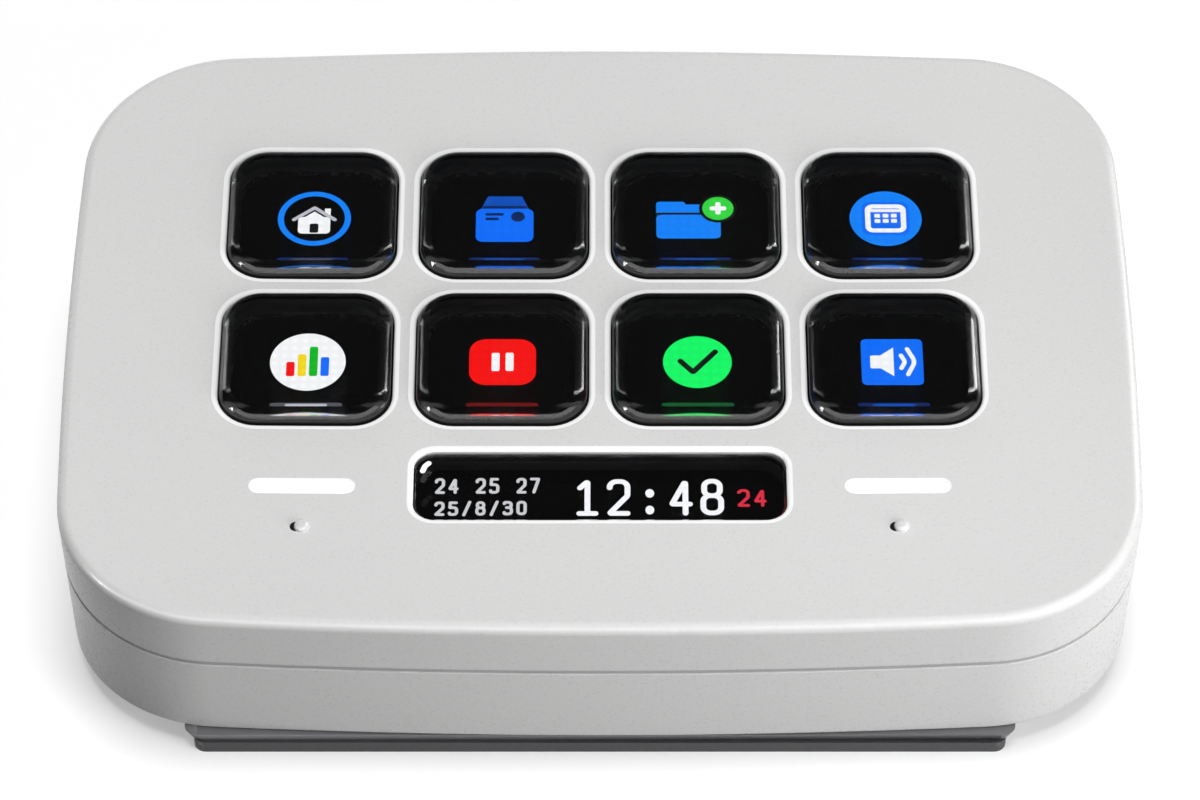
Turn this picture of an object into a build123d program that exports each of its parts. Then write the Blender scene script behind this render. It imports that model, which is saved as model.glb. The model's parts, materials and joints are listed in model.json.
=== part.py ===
from build123d import *
import os
from math import cos, radians, sin, tan

# Desktop macro keypad: eight clear keys over one display, an info window, two touch points and a
# wedge-shaped two-shell case. X runs to the right, Y to the back, Z up, millimetres. The origin is
# the centre of the footprint, on the surface that the keypad stands on.
# Most pieces are laid out in the face frame: u to the right, v up the sloping face, and w out of
# the face, counted from the rim. Depths below the rim are positive numbers here.

# --- case ---------------------------------------------------------------------------------------
case_width = 107.0
face_length = 78.0          # along the slope
rim_height = 26.3           # rim plane above the desk at the back; the rounding takes 0.3 off it
tilt = 4.5                  # slope of the face, degrees
front_bow = 2.11            # how far the front and back edges bulge
side_bow = 1.13             # how far the side edges bulge
corner_radius = 16.0
wall_draft = 1.84           # the walls lean in towards the bottom, degrees
wall = 2.0
rim_radius = 1.0
edge_radius = 0.5           # lower outer edge
seam_radius = 0.15          # outer edges along the shadow line
dish_depth = 1.2            # middle of the face below the rim
dish_power = 5              # how late the dish turns up towards the rim
dish_reach = 1.02           # the dish meets the rim plane this far out, as a share of the half size
rim_allowance = 2.4         # the blank stands this far above the rim before the dish is cut
skin_depth = 2.4            # inner side of the face panel, below the rim
parting_depth = 6.95        # lower edge of the top shell, below the rim
parting_gap = 0.45          # shadow line between the shells
floor_thickness = 2.0
lip_height = 1.5            # tongue of the bottom shell above the parting edge
lip_thickness = 1.1
lip_clearance = 0.12

# --- keys ---------------------------------------------------------------------------------------
columns = 4
rows = 2
key_pitch = 19.55
key_block_v = 6.15          # middle of the key block on the slope
cap_size = 17.0
cap_radius = 4.7
cap_gap = 0.2               # each side, in the opening
cap_top_depth = 0.0         # crown below the rim
cap_thickness = 3.2
cap_bevel_width = 1.25
cap_bevel_height = 0.85
cap_bevel_round = 0.25
flange_reach = 0.75         # retaining flange beyond the cap, each side
flange_clearance = 0.05     # under the face panel
flange_thickness = 0.7
key_travel = 0.9
opening_chamfer = 0.3

# --- key mat, switch film and display -----------------------------------------------------------
mat_thickness = 0.3
mat_window = 15.4
mat_margin = 0.5            # beyond the key block, each side
mat_trim = 0.05             # short of it at the front and back, where the case's pieces pass
mat_ring_gap = 0.1          # between a ring and the cap inside it
mat_rest = 0.15             # left between a pressed flange and the mat
film_thickness = 0.25
film_window = 15.0
film_margin = 0.8
window_radius = 3.7         # corners of the mat's and film's windows
glass_size = (82.0, 55.0)
glass_thickness = 1.2
glass_radius = 1.5
glass_v = -1.35
backlight_inset = 0.8       # from the edges of the glass
backlight_thickness = 1.7
tray_wall = 1.2
tray_floor = 0.9
tray_clearance = 0.2
tray_window = (58.0, 34.0)
tray_radius = 2.5

# --- info window, touch points ------------------------------------------------------------------
info_v = -20.05
info_size = (36.6, 8.8)
info_radius = 3.0
lens_gap = 0.15
lens_recess = 0.45
lens_flange = 1.3
lens_flange_thickness = 0.5
touch_u = 29.2              # light bars and touch points, each side
bar_v = -20.25
bar_size = (10.2, 1.7)
bar_gap = 0.1
bar_recess = 0.25
bar_flange = 1.0
bar_flange_thickness = 0.6
nib_v = -25.5
nib_radius = 1.0
nib_height = 0.35
touch_board_size = (15.0, 12.0)
touch_board_v = -22.6
touch_board_thickness = 0.8
led_size = (1.6, 0.8, 0.55)
led_offset = 3.2

# --- electronics in the lower shell -------------------------------------------------------------
board_size = (58.0, 46.5)
board_setback = 3.7         # back edge of the board inside the socket's mouth
board_depth = 12.8          # upper side, below the rim
board_thickness = 1.2
board_screw_inset = (3.5, 4.0)
standoff_radius = 2.8
usb_width = 8.94
usb_height = 3.26
usb_length = 7.4
usb_shell = 0.3
usb_back = 1.2              # closed end of the socket
usb_recess = 0.45           # mouth below the rear wall
usb_gap = 0.25
tongue_size = (6.7, 0.7, 4.7)
tongue_radius = 0.3
flex_thickness = 0.2
flex_bend = 1.2
flex_run = 1.6              # between the tray's front wall and a flex that passes it
display_flex_width = 24.0
touch_flex_width = 5.0
touch_flex_u = 19.0
touch_flex_seat = 4.5       # how far a touch flex starts behind its board's middle
connector_height = 1.0
connector_length = 3.2
connector_margin = 1.0      # wider than its flex, each side
connector_setback = 2.2     # from the board's front edge
tail_u = -13.0              # the switch film's tail
tail_width = 8.0
tail_gap = 1.75             # behind the tray
tail_connector_length = 2.4
# what is soldered on the board: its size, and where it sits from the board's middle
chip_size = (9.0, 9.0, 0.9)
chip_at = (-7.0, -2.25)
memory_size = (6.0, 5.0, 0.9)
memory_at = (8.0, -1.25)
regulator_size = (3.2, 2.5, 0.8)
regulators_at = ((-16.5, 0.75), (16.5, -7.25))
coil_size = (4.0, 4.0, 1.8)
coil_at = (17.0, 6.75)
capacitor_size = (1.6, 0.8, 0.7)
capacitor_pitch = 2.4
capacitor_count = 5
capacitor_row = (3.8, 7.75)

# --- fasteners ----------------------------------------------------------------------------------
ear_reach = 3.4             # a tray screw beyond the side of the tray
tray_screw_v = (-20.0, 18.0)
tray_boss_radius = 2.4
ear_depth = 7.3
ear_radius = 2.6
case_screw_gap = 0.25       # between a case boss and the side of the tray
case_screw_inset = 9.2      # from the front and back of the case
case_boss_radius = 2.3
case_tube_radius = 3.6
case_joint_depth = 9.0      # where top bosses and bottom tubes meet
case_seat = 3.5             # thickness under a case screw's head
case_shank = 1.0
case_head = 2.2
case_head_height = 1.5
small_shank = 0.8
small_head = 1.8
small_head_height = 1.2
thread_gap = 0.05
head_gap = 0.4

# --- ballast, plinth and foot -------------------------------------------------------------------
ballast_size = (78.0, 52.0)
ballast_thickness = 2.6
ballast_y = -1.0
plinth_inset = (12.7, 1.8)  # from the case's outline, each side
plinth_thickness = 1.2
plinth_radius = 1.2
plinth_draft = 20.0
foot_inset = (0.8, 0.0)     # from the plinth, each side
foot_thickness = 1.35
foot_draft = 2.0

# --- worked out from the above ------------------------------------------------------------------
foot_height = plinth_thickness + foot_thickness
slope = radians(tilt)
lean = tan(radians(wall_draft))
back_wall = (rim_height - foot_height) / cos(slope)
overhang = back_wall * sin(slope) - back_wall * lean * cos(slope)
face = Plane(
    origin=(0, -overhang / 2, rim_height - face_length / 2 * sin(slope)),
    x_dir=(1, 0, 0),
    z_dir=(0, -sin(slope), cos(slope)),
)
face_axis = Axis(face.origin, face.z_dir)
body_depth = back_wall + wall
key_spots = [
    ((i - (columns - 1) / 2) * key_pitch, key_block_v + ((rows - 1) / 2 - j) * key_pitch)
    for j in range(rows)
    for i in range(columns)
]
opening_size = cap_size + 2 * cap_gap
opening_radius = cap_radius + cap_gap
flange_top = skin_depth + flange_clearance
flange_bottom = flange_top + flange_thickness
mat_top = flange_bottom + key_travel + mat_rest
film_top = mat_top + mat_thickness
glass_top = film_top + film_thickness
backlight_top = glass_top + glass_thickness
tray_inside = backlight_top + backlight_thickness
tray_bottom = tray_inside + tray_floor
block_size = (columns * key_pitch, rows * key_pitch)
backlight_size = [side - 2 * backlight_inset for side in glass_size]
pocket = [side + 2 * tray_clearance for side in glass_size]
tray_size = [side + 2 * tray_wall for side in pocket]
tray_front = glass_v - tray_size[1] / 2
tray_screw_u = tray_size[0] / 2 + ear_reach
case_screw_u = tray_size[0] / 2 + case_screw_gap + case_boss_radius
case_screw_v = face_length / 2 - case_screw_inset
usb_middle = board_depth - usb_height / 2
usb_mouth = face_length / 2 - usb_middle * lean - usb_recess
board_bottom = board_depth + board_thickness
board_v = usb_mouth - board_setback - board_size[1] / 2
board_front = board_v - board_size[1] / 2
touch_board_top = glass_top - touch_board_thickness
plinth_size = (case_width - 2 * plinth_inset[0], face_length - 2 * plinth_inset[1])
foot_size = [side - 2 * inset for side, inset in zip(plinth_size, foot_inset)]
sides = (-1, 1)


def level(depth):
    """The plane parallel to the face, so far below the rim."""
    return face.offset(-depth)


def side_plane(u):
    """The plane across the case at u: its x runs up the slope and its y out of the face."""
    return Plane(origin=face.from_local_coords(Vector(u, 0, 0)), x_dir=face.y_dir, z_dir=face.x_dir)


def rear_plane(v, depth):
    """The plane that looks out of the back, square to the slope."""
    return Plane(
        origin=face.from_local_coords(Vector(0, v, -depth)), x_dir=(1, 0, 0), z_dir=face.y_dir
    )


def dish(u, v):
    """Height of the face against the rim: a bowl, level in the middle and turned up late."""
    reach_u = case_width / 2 * dish_reach
    reach_v = face_length / 2 * dish_reach
    rise = abs(u / reach_u) ** dish_power + abs(v / reach_v) ** dish_power
    return dish_depth * (rise - 1)


def case_outline(shrink=0.0):
    """Plan of the case, shrunk evenly: four shallow arcs joined by four round corners."""
    half_u = case_width / 2 - shrink
    half_v = face_length / 2 - shrink
    corner_u = half_u - side_bow
    corner_v = half_v - front_bow
    with BuildLine() as arcs:
        ThreePointArc((-corner_u, -corner_v), (0, -half_v), (corner_u, -corner_v))
        ThreePointArc((corner_u, -corner_v), (half_u, 0), (corner_u, corner_v))
        ThreePointArc((corner_u, corner_v), (0, half_v), (-corner_u, corner_v))
        ThreePointArc((-corner_u, corner_v), (-half_u, 0), (-corner_u, -corner_v))
    plan = make_face(arcs.edges())
    fillet(plan.vertices(), corner_radius - shrink)


def case_block(depth_from, depth_to, inset, mode=Mode.ADD):
    """A stretch of the case's drafted body between two depths, inset from its outer wall."""
    top = level(depth_from)
    with BuildSketch(top) as plan:
        case_outline(inset + depth_from * lean)
    upwards = extrude(plan.sketch, amount=depth_to - depth_from, taper=wall_draft,
                      mode=Mode.PRIVATE)
    mirror(upwards, about=top, mode=mode)


def pegs(spots, radius, depth_from, depth_to, mode=Mode.ADD):
    """Round bars square to the face, between two depths."""
    with BuildSketch(level(depth_to)) as plan:
        with Locations(*spots):
            Circle(radius)
    extrude(plan.sketch, amount=depth_to - depth_from, mode=mode)


def plate(size, depth_from, depth_to, radius=0.0, at=((0, 0),), mode=Mode.ADD):
    """Flat rectangles parallel to the face, between two depths, with round corners if asked."""
    with BuildSketch(level(depth_to)) as plan:
        with Locations(*at):
            if radius:
                RectangleRounded(*size, radius)
            else:
                Rectangle(*size)
    extrude(plan.sketch, amount=depth_to - depth_from, mode=mode)


def soldered(size, spots, radius=0.0):
    """Blocks that stand on the main board, placed from its middle."""
    plate(size[:2], board_depth - size[2], board_depth, radius,
          [(u, board_v + v) for u, v in spots])


def screw(spots, shank, tip_depth, seat_depth, head, head_height):
    """Screws driven from below, square to the face, with a cross recess in each head."""
    pegs(spots, shank, tip_depth, seat_depth)
    pegs(spots, head, seat_depth, seat_depth + head_height)
    plate((head, head / 4), seat_depth + head_height / 2, seat_depth + head_height,
          at=spots, mode=Mode.SUBTRACT)
    plate((head / 4, head), seat_depth + head_height / 2, seat_depth + head_height,
          at=spots, mode=Mode.SUBTRACT)


def write(piece, name):
    piece.part.label = name
    export_step(piece.part, f"parts/{name}.step")


os.makedirs("parts", exist_ok=True)
tray_screws_at = [(s * tray_screw_u, v) for s in sides for v in tray_screw_v]
case_screws_at = [(s * case_screw_u, t * case_screw_v) for s in sides for t in sides]
board_screws_at = [
    (s * (board_size[0] / 2 - board_screw_inset[0]),
     board_v + t * (board_size[1] / 2 - board_screw_inset[1]))
    for s in sides
    for t in sides
]
bars_at = [(s * touch_u, bar_v) for s in sides]

# --- top shell ----------------------------------------------------------------------------------
dish_grid = [
    [
        face.from_local_coords(Vector(u, v, dish(u, v)))
        for u in [case_width * (i / 16 - 0.5) * 1.06 for i in range(17)]
    ]
    for v in [face_length * (j / 12 - 0.5) * 1.06 for j in range(13)]
]
dish_surface = Face.make_surface_from_array_of_points(dish_grid, tol=0.002)

with BuildPart() as top_shell:
    case_block(-rim_allowance, parting_depth, 0)
    extrude(dish_surface, amount=2 * rim_allowance, dir=face.z_dir, mode=Mode.SUBTRACT)
    rim = top_shell.faces().filter_by(GeomType.BSPLINE).sort_by(SortBy.AREA)[-1]
    fillet(rim.outer_wire().edges(), rim_radius)
    fillet(top_shell.faces().sort_by(face_axis)[0].outer_wire().edges(), seam_radius)
    case_block(skin_depth, parting_depth, wall, mode=Mode.SUBTRACT)
    # the wall is thinned at its lower edge, where the bottom shell's tongue stands behind it
    case_block(parting_depth - lip_height, parting_depth,
               wall - lip_thickness - lip_clearance, mode=Mode.SUBTRACT)
    pegs(case_screws_at, case_boss_radius, skin_depth, case_joint_depth)
    pegs(tray_screws_at, tray_boss_radius, skin_depth, ear_depth)
    plate((opening_size, opening_size), -1, skin_depth, opening_radius, key_spots, Mode.SUBTRACT)
    plate(info_size, -1, skin_depth, info_radius, [(0, info_v)], Mode.SUBTRACT)
    plate(bar_size, -1, skin_depth, bar_size[1] / 2 - 0.01, bars_at, Mode.SUBTRACT)
    panel = top_shell.faces().filter_by(GeomType.BSPLINE).sort_by(SortBy.AREA)[-1]
    large = [w for w in panel.inner_wires() if w.length > 2 * sum(bar_size) + 1]
    chamfer([e for w in large for e in w.edges()], opening_chamfer)
    for side in sides:
        nib_top = -dish(touch_u, nib_v) - nib_height
        pegs([(side * touch_u, nib_v)], nib_radius, nib_top, nib_top + 2 * nib_height)
        crown = top_shell.faces().sort_by_distance(
            face.from_local_coords(Vector(side * touch_u, nib_v, -nib_top))
        )[0]
        fillet(crown.edges(), nib_height * 0.9)
    pegs(case_screws_at, case_shank + thread_gap, skin_depth + 1, case_joint_depth, Mode.SUBTRACT)
    pegs(tray_screws_at, small_shank + thread_gap, skin_depth + 1, ear_depth, Mode.SUBTRACT)
write(top_shell, "top_shell")

# --- bottom shell -------------------------------------------------------------------------------
floor_plane = Plane.XY.offset(foot_height)
inner_floor = Plane.XY.offset(foot_height + floor_thickness)
body_top = parting_depth + parting_gap

with BuildPart() as cavity:
    case_block(body_top - 1, body_depth, wall)
    split(bisect_by=inner_floor, keep=Keep.TOP)

with BuildPart() as bottom_shell:
    case_block(body_top, body_depth, 0)
    split(bisect_by=floor_plane, keep=Keep.TOP)
    underside = bottom_shell.faces().sort_by(Axis.Z)[0]
    fillet(underside.outer_wire().edges(), edge_radius)
    fillet(bottom_shell.faces().sort_by(face_axis)[-1].outer_wire().edges(), seam_radius)
    add(cavity.part, mode=Mode.SUBTRACT)
    # tongue behind the top shell's wall
    case_block(parting_depth - lip_height, body_top, wall - lip_thickness)
    case_block(parting_depth - lip_height - 1, body_top + 1, wall, mode=Mode.SUBTRACT)
    pegs(case_screws_at, case_tube_radius, case_joint_depth, body_depth)
    pegs(board_screws_at, standoff_radius, board_bottom, body_depth)
    split(bisect_by=floor_plane, keep=Keep.TOP)
    pegs(case_screws_at, case_shank + head_gap, case_joint_depth, body_depth, Mode.SUBTRACT)
    pegs(case_screws_at, case_head + head_gap, case_joint_depth + case_seat, body_depth,
         Mode.SUBTRACT)
    pegs(board_screws_at, small_shank + thread_gap, board_bottom, board_bottom + 2.0,
         Mode.SUBTRACT)
    with BuildSketch(rear_plane(usb_mouth - usb_length, usb_middle)):
        SlotOverall(usb_width + 2 * usb_gap, usb_height + 2 * usb_gap)
    extrude(amount=2 * usb_length, mode=Mode.SUBTRACT)
write(bottom_shell, "bottom_shell")

# --- plinth and foot ----------------------------------------------------------------------------
with BuildPart() as plinth:
    with BuildSketch(Plane.XY.offset(foot_height)):
        RectangleRounded(*plinth_size, plinth_radius)
    with BuildSketch(Plane.XY.offset(foot_thickness)):
        narrowing = 2 * plinth_thickness * tan(radians(plinth_draft))
        RectangleRounded(plinth_size[0] - narrowing, plinth_size[1] - narrowing, plinth_radius)
    loft(ruled=True)
write(plinth, "plinth")

with BuildPart() as foot_pad:
    with BuildSketch(Plane.XY.offset(foot_thickness)):
        RectangleRounded(*foot_size, plinth_radius)
    with BuildSketch(Plane.XY):
        narrowing = 2 * foot_thickness * tan(radians(foot_draft))
        RectangleRounded(foot_size[0] - narrowing, foot_size[1] - narrowing, plinth_radius)
    loft(ruled=True)
write(foot_pad, "foot_pad")

# --- clear keys ---------------------------------------------------------------------------------
for number, spot in enumerate(key_spots, start=1):
    with BuildPart() as key_cap:
        plate((cap_size, cap_size), cap_top_depth, cap_top_depth + cap_thickness, cap_radius,
              [spot])
        crown = key_cap.faces().sort_by(face_axis)[-1]
        chamfer(crown.edges(), cap_bevel_height, cap_bevel_width, reference=crown)
        crown = key_cap.faces().sort_by(face_axis)[-1]
        fillet(crown.edges(), cap_bevel_round)
        flange_size = cap_size + 2 * flange_reach
        plate((flange_size, flange_size), flange_top, flange_bottom, cap_radius + flange_reach,
              [spot])
    write(key_cap, f"key_cap_{number}")

# --- key mat and switch film --------------------------------------------------------------------
ring_inside = cap_size + 2 * mat_ring_gap
ring_outside = cap_size + 2 * flange_reach
with BuildPart() as key_mat:
    plate((block_size[0] + 2 * mat_margin, block_size[1] - 2 * mat_trim), mat_top, film_top,
          2.0, [(0, key_block_v)])
    plate((ring_outside, ring_outside), flange_bottom, mat_top, cap_radius + flange_reach,
          key_spots)
    plate((ring_inside, ring_inside), flange_bottom, mat_top, cap_radius + mat_ring_gap,
          key_spots, Mode.SUBTRACT)
    plate((mat_window, mat_window), mat_top, film_top, window_radius, key_spots,
          Mode.SUBTRACT)
write(key_mat, "key_mat")

tail_v = tray_front + tray_size[1] + tail_gap
block_back = key_block_v + block_size[1] / 2
with BuildPart() as switch_film:
    plate((block_size[0] + 2 * film_margin, block_size[1] - 2 * mat_trim), film_top, glass_top,
          2.0, [(0, key_block_v)])
    plate((film_window, film_window), film_top, glass_top, window_radius, key_spots,
          Mode.SUBTRACT)
    middle = -(film_top + glass_top) / 2
    with BuildSketch(side_plane(tail_u)):
        with BuildLine():
            FilletPolyline(
                (block_back - 1, middle),
                (tail_v, middle),
                (tail_v, connector_height - board_depth),
                radius=flex_bend,
            )
        trace(line_width=film_thickness)
    extrude(amount=tail_width / 2, both=True)
write(switch_film, "switch_film")

# --- display, its backlight and its tray --------------------------------------------------------
with BuildPart() as display_panel:
    plate(glass_size, glass_top, backlight_top, glass_radius, [(0, glass_v)])
write(display_panel, "display_panel")

with BuildPart() as display_backlight:
    plate(backlight_size, backlight_top, tray_inside, 1.0, [(0, glass_v)])
write(display_backlight, "display_backlight")

with BuildPart() as display_tray:
    plate(tray_size, glass_top, tray_bottom, tray_radius, [(0, glass_v)])
    pegs(tray_screws_at, ear_radius, ear_depth, tray_bottom)
    necks = [(s * (tray_size[0] / 2 + tray_screw_u) / 2, v) for s, v in
             [(s, v) for s in sides for v in tray_screw_v]]
    plate((tray_screw_u - tray_size[0] / 2 + 0.4, 2 * ear_radius), ear_depth, tray_bottom,
          at=necks)
    plate(pocket, glass_top, tray_inside, glass_radius, [(0, glass_v)], Mode.SUBTRACT)
    plate(tray_window, tray_inside, tray_bottom, 4.0, [(0, glass_v)], Mode.SUBTRACT)
    pegs(tray_screws_at, small_shank + head_gap, ear_depth, tray_bottom, Mode.SUBTRACT)
    # mouth in the front wall for the display's flex
    plate((display_flex_width + 1, 3 * tray_wall), glass_top, tray_inside, 0,
          [(0, tray_front)], Mode.SUBTRACT)
write(display_tray, "display_tray")

# --- info window and its gasket -----------------------------------------------------------------
lens_size = [side - 2 * lens_gap for side in info_size]
lens_edge = [side + 2 * lens_flange for side in info_size]
lens_top = -dish(0, info_v) + lens_recess
lens_bottom = skin_depth + lens_flange_thickness
with BuildPart() as info_window:
    plate(lens_size, lens_top, skin_depth, info_radius - lens_gap, [(0, info_v)])
    plate(lens_edge, skin_depth, lens_bottom, info_radius + lens_flange, [(0, info_v)])
write(info_window, "info_window")

with BuildPart() as info_gasket:
    plate(lens_edge, lens_bottom, glass_top, info_radius + lens_flange, [(0, info_v)])
    plate(info_size, lens_bottom, glass_top, info_radius, [(0, info_v)], Mode.SUBTRACT)
write(info_gasket, "info_gasket")

# --- light bars, touch boards and their lamps ---------------------------------------------------
bar_top = -dish(touch_u, bar_v) + bar_recess
bar_body = [side - 2 * bar_gap for side in bar_size]
bar_foot = [side + 2 * bar_flange for side in bar_size]
for name, side in (("left", -1), ("right", 1)):
    with BuildPart() as light_bar:
        plate(bar_body, bar_top, skin_depth, bar_body[1] / 2 - 0.01, [(side * touch_u, bar_v)])
        plate(bar_foot, skin_depth, skin_depth + bar_flange_thickness, 0.8,
              [(side * touch_u, bar_v)])
    write(light_bar, f"light_bar_{name}")
    with BuildPart() as touch_board:
        plate(touch_board_size, touch_board_top, glass_top, 1.0, [(side * touch_u, touch_board_v)])
    write(touch_board, f"touch_board_{name}")

with BuildPart() as status_lamps:
    lamps_at = [(s * touch_u + d * led_offset, bar_v) for s in sides for d in sides]
    plate(led_size[:2], touch_board_top - led_size[2], touch_board_top, at=lamps_at)
write(status_lamps, "status_lamps")

# --- main board and what is soldered on it ------------------------------------------------------
with BuildPart() as main_board:
    plate(board_size, board_depth, board_bottom, 2.0, [(0, board_v)])
    pegs(board_screws_at, small_shank + head_gap / 2, board_depth, board_bottom, Mode.SUBTRACT)
write(main_board, "main_board")

with BuildPart() as controller_chip:
    soldered(chip_size, [chip_at], 0.3)
write(controller_chip, "controller_chip")

with BuildPart() as board_parts:
    soldered(memory_size, [memory_at])
    soldered(regulator_size, regulators_at)
    soldered(coil_size, [coil_at], 0.8)
    soldered(capacitor_size, [
        (capacitor_row[0] + (i - (capacitor_count - 1) / 2) * capacitor_pitch, capacitor_row[1])
        for i in range(capacitor_count)
    ])
write(board_parts, "board_parts")

connector_v = board_front + connector_setback
connector_top = board_depth - connector_height
with BuildPart() as flex_connectors:
    plate((display_flex_width + 2 * connector_margin, connector_length), connector_top,
          board_depth, at=[(0, connector_v)])
    plate((touch_flex_width + connector_margin, connector_length), connector_top, board_depth,
          at=[(s * touch_flex_u, connector_v) for s in sides])
    plate((tail_width + 2 * connector_margin, tail_connector_length), connector_top,
          board_depth, at=[(tail_u, tail_v)])
write(flex_connectors, "flex_connectors")

with BuildPart() as usb_socket:
    with BuildSketch(rear_plane(usb_mouth, usb_middle)):
        SlotOverall(usb_width, usb_height)
    extrude(amount=-usb_length)
    with BuildSketch(rear_plane(usb_mouth, usb_middle)):
        SlotOverall(usb_width - 2 * usb_shell, usb_height - 2 * usb_shell)
    extrude(amount=-(usb_length - usb_back), mode=Mode.SUBTRACT)
write(usb_socket, "usb_socket")

with BuildPart() as usb_tongue:
    with BuildSketch(rear_plane(usb_mouth - usb_length + usb_back, usb_middle)):
        RectangleRounded(tongue_size[0], tongue_size[1], tongue_radius)
    extrude(amount=tongue_size[2])
write(usb_tongue, "usb_tongue")

# --- flexes -------------------------------------------------------------------------------------
turn_v = tray_front - flex_run
entry_v = connector_v - connector_length / 2
entry = -(board_depth - connector_height / 2)
glass_front = glass_v - glass_size[1] / 2
with BuildPart() as display_flex:
    ledge = -(glass_top + glass_thickness / 2)
    with BuildSketch(side_plane(0)):
        with BuildLine():
            FilletPolyline((glass_front, ledge), (turn_v, ledge), (turn_v, entry),
                           (entry_v, entry), radius=flex_bend)
        trace(line_width=flex_thickness)
    extrude(amount=display_flex_width / 2, both=True)
write(display_flex, "display_flex")

with BuildPart() as touch_flexes:
    for side in sides:
        start = -(touch_board_top - flex_thickness / 2)
        with BuildSketch(side_plane(side * touch_flex_u)):
            with BuildLine():
                FilletPolyline((touch_board_v - touch_flex_seat, start), (turn_v, start),
                               (turn_v, entry), (entry_v, entry), radius=flex_bend)
            trace(line_width=flex_thickness)
        extrude(amount=touch_flex_width / 2, both=True)
write(touch_flexes, "touch_flexes")

# --- ballast ------------------------------------------------------------------------------------
with BuildPart() as ballast_plate:
    with BuildSketch(inner_floor):
        with Locations((0, ballast_y)):
            RectangleRounded(*ballast_size, 4.0)
    extrude(amount=ballast_thickness)
    pegs(board_screws_at, standoff_radius + head_gap, board_bottom, body_depth, Mode.SUBTRACT)
write(ballast_plate, "ballast_plate")

# --- screws -------------------------------------------------------------------------------------
with BuildPart() as case_screws:
    screw(case_screws_at, case_shank, skin_depth + 2, case_joint_depth + case_seat, case_head,
          case_head_height)
write(case_screws, "case_screws")

with BuildPart() as tray_screws:
    screw(tray_screws_at, small_shank, skin_depth + 2, tray_bottom, small_head,
          small_head_height)
write(tray_screws, "tray_screws")

with BuildPart() as board_screws:
    pegs(board_screws_at, small_shank, board_depth, board_bottom + 1.8)
    pegs(board_screws_at, small_head, board_depth - small_head_height, board_depth)
    plate((small_head, small_head / 4), board_depth - small_head_height,
          board_depth - small_head_height / 2, at=board_screws_at, mode=Mode.SUBTRACT)
    plate((small_head / 4, small_head), board_depth - small_head_height,
          board_depth - small_head_height / 2, at=board_screws_at, mode=Mode.SUBTRACT)
write(board_screws, "board_screws")
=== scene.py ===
import json
import math

import bmesh
import bpy
import numpy as np
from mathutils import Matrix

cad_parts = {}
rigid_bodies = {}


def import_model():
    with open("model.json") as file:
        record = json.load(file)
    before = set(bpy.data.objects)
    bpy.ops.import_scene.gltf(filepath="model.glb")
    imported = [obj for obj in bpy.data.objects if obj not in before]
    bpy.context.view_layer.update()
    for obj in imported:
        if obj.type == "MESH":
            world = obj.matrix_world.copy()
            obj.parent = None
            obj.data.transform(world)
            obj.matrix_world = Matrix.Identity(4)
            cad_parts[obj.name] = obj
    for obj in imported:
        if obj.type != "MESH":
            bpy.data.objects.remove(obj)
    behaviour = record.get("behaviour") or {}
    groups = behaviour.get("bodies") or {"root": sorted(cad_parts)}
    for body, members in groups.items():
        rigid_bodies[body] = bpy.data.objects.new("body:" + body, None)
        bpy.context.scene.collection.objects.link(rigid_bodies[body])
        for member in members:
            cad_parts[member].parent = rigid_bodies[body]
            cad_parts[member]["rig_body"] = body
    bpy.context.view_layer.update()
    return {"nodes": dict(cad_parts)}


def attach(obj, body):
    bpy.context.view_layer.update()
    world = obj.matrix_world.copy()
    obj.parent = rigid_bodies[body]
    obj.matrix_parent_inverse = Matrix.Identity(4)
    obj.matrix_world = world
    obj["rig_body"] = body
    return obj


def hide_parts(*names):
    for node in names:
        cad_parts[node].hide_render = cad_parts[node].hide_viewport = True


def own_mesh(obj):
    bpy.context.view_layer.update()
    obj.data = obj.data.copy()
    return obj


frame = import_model()  # the imported part's nodes
print("frame loaded:", len(frame["nodes"]), "nodes")

# Sizes are in millimetres and angles in degrees. The keypad's face is laid out in its own
# directions: u to the right, v up the slope, w out of the face, from the plane of the rim.
case = {
    "width": 107.0, "length": 78.0, "tilt": 4.5, "footHeight": 2.55, "draft": 1.84,
    "rimHeight": 26.3,  # at the back, above the desk
    "frontBow": 2.11, "sideBow": 1.13, "cornerRadius": 16.0,
    "dishDepth": 1.2, "dishPower": 5, "dishReach": 1.02,
    "keyPitch": 19.55, "keyBlockV": 6.15,
    "displayDepth": 4.75,  # top of the display's glass
}

cosTilt = math.cos(math.radians(case["tilt"]))
sinTilt = math.sin(math.radians(case["tilt"]))
lean = math.tan(math.radians(case["draft"]))
halfWidth, halfLength = case["width"] / 2, case["length"] / 2
backWall = (case["rimHeight"] - case["footHeight"]) / cosTilt
originY = -backWall * (sinTilt - lean * cosTilt) / 2
originZ = case["rimHeight"] - halfLength * sinTilt
keySpots = [
    ((i - 1.5) * case["keyPitch"], case["keyBlockV"] + (0.5 - j) * case["keyPitch"])
    for j in range(2)
    for i in range(4)
]


def place(u, v, w):
    # face to frame: v and w are turned about X by the tilt, moved to the face's middle, in metres
    u, v, w = np.broadcast_arrays(u, v, w)
    y = originY + v * cosTilt - w * sinTilt
    z = originZ + v * sinTilt + w * cosTilt
    return np.stack([u, y, z], axis=-1) * 0.001


def laid(rows, height):
    # rows of (u, v) at a height over the rim
    return place(rows[..., 0], rows[..., 1], height)


def dish(rows):
    # the moulded face: a bowl whose floor is level and turns up with the fifth power of the
    # distance from the middle, so that it meets the rim in a late, soft rise
    reach = np.array([halfWidth, halfLength]) * case["dishReach"]
    rise = (np.abs(rows / reach) ** case["dishPower"]).sum(-1)
    return case["dishDepth"] * (rise - 1)


# --- loops: closed rows of points round an opening, a cap or the case ---


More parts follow.
